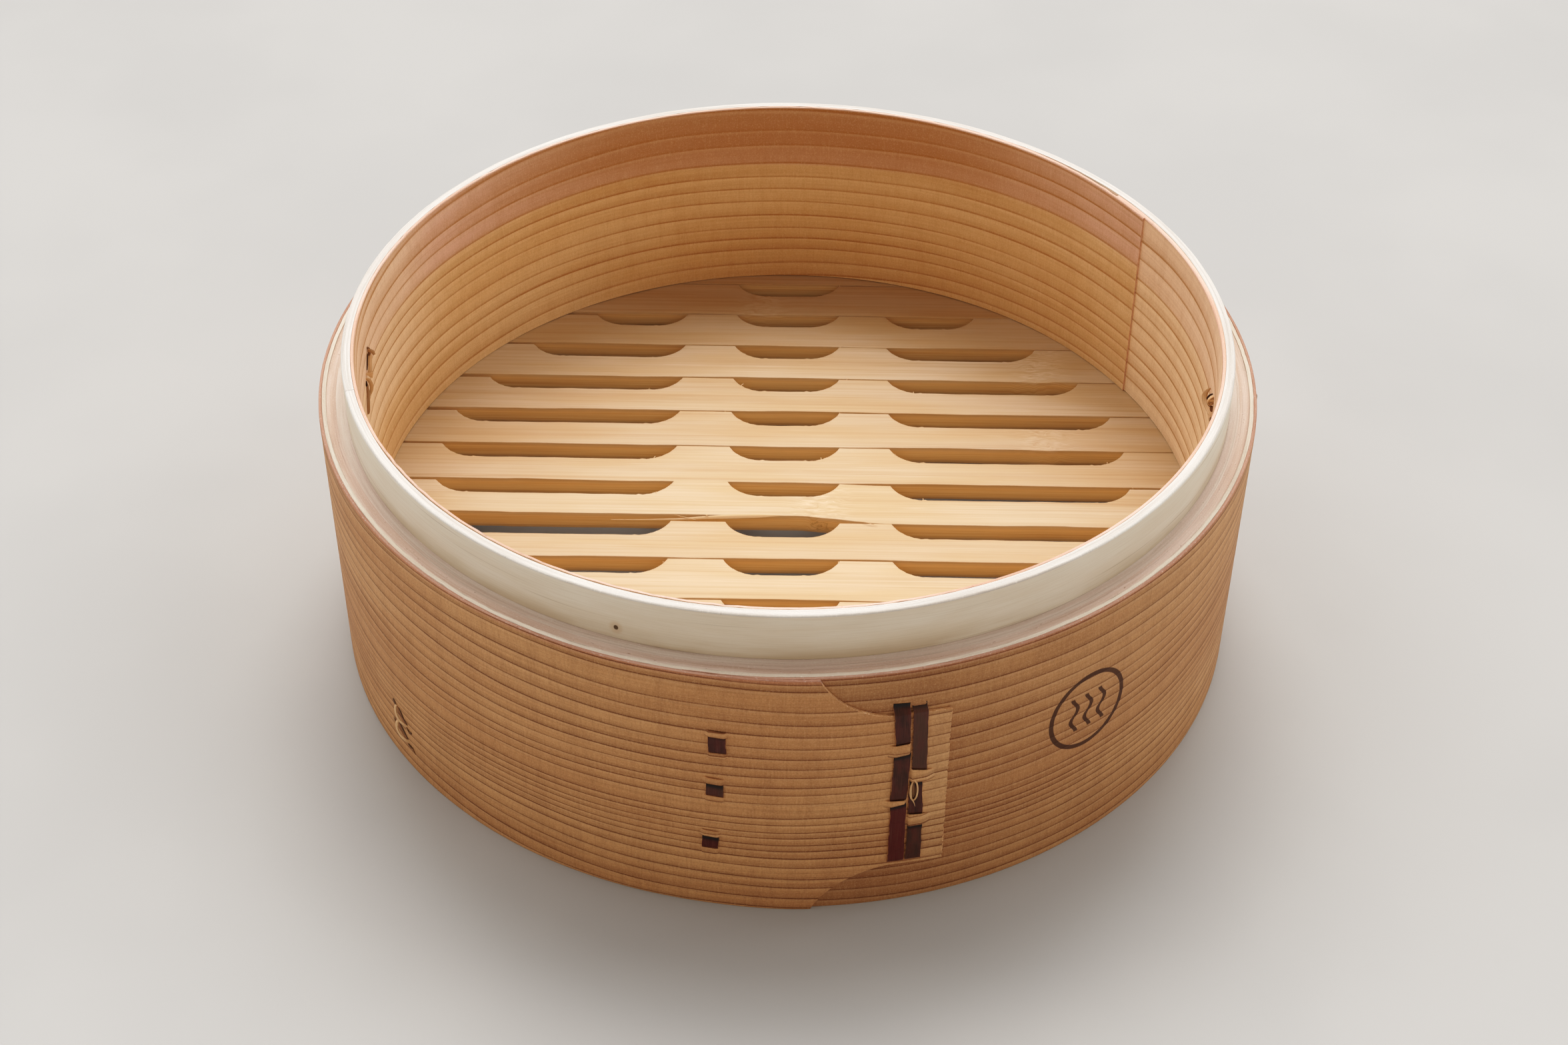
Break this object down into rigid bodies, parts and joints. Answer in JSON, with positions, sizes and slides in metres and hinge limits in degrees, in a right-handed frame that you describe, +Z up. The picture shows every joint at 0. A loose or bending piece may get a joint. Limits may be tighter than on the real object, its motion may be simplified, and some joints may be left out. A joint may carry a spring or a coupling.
{
  "type": "steamer basket tier",
  "caption": "Round stackable steamer tier: laced cedar hoop wall with a raised white collar above a ledge, and a floor of notched bamboo slats.",
  "frame": {"origin": "centre of the foot rim, on the plane that the tier stands on", "axes": "+Z up along the hoop's axis, +X along the slats, -Y towards the laced lap of the outer hoop"},
  "size_m": [0.2416, 0.2406, 0.0869],
  "materials": {
    "cedar_hoop": "planed cedar with dark annual lines, unvarnished",
    "white_veneer": "pale sapwood veneer, sawn edge",
    "core_wood": "pale bent board, sawn end grain",
    "collar_wood": "smooth sanded white wood",
    "lining_cedar": "planed cedar, pink heartwood and yellow sapwood",
    "slat_bamboo": "split bamboo, planed top, fine lengthwise fibres",
    "bamboo_rod": "split bamboo rod",
    "cherry_bark": "polished dark bark strip",
    "tie_fibre": "dry plant fibre"
  },
  "bodies": {
    "root": {"outer_hoop": "cedar_hoop", "veneer_hoop": "white_veneer", "core_hoop_outer": "core_wood", "core_hoop_inner": "core_wood", "collar_hoop": "collar_wood", "lining_hoop": "lining_cedar", "support_ring": "core_wood", "rod_left": "bamboo_rod", "rod_right": "bamboo_rod", "lace_left_column": "cherry_bark", "lace_right_column": "cherry_bark", "lace_anchor_row": "cherry_bark", "tie_front": "tie_fibre", "tie_left": "tie_fibre", "tie_right": "tie_fibre", "tie_left_front": "tie_fibre", "slat_01": "slat_bamboo", "slat_02": "slat_bamboo", "slat_03": "slat_bamboo", "slat_04": "slat_bamboo", "slat_05": "slat_bamboo", "slat_06": "slat_bamboo", "slat_07": "slat_bamboo", "slat_08": "slat_bamboo", "slat_09": "slat_bamboo", "slat_10": "slat_bamboo", "slat_11": "slat_bamboo", "slat_12": "slat_bamboo", "slat_13": "slat_bamboo", "slat_14": "slat_bamboo", "slat_15": "slat_bamboo"}
  },
  "joints": []
}
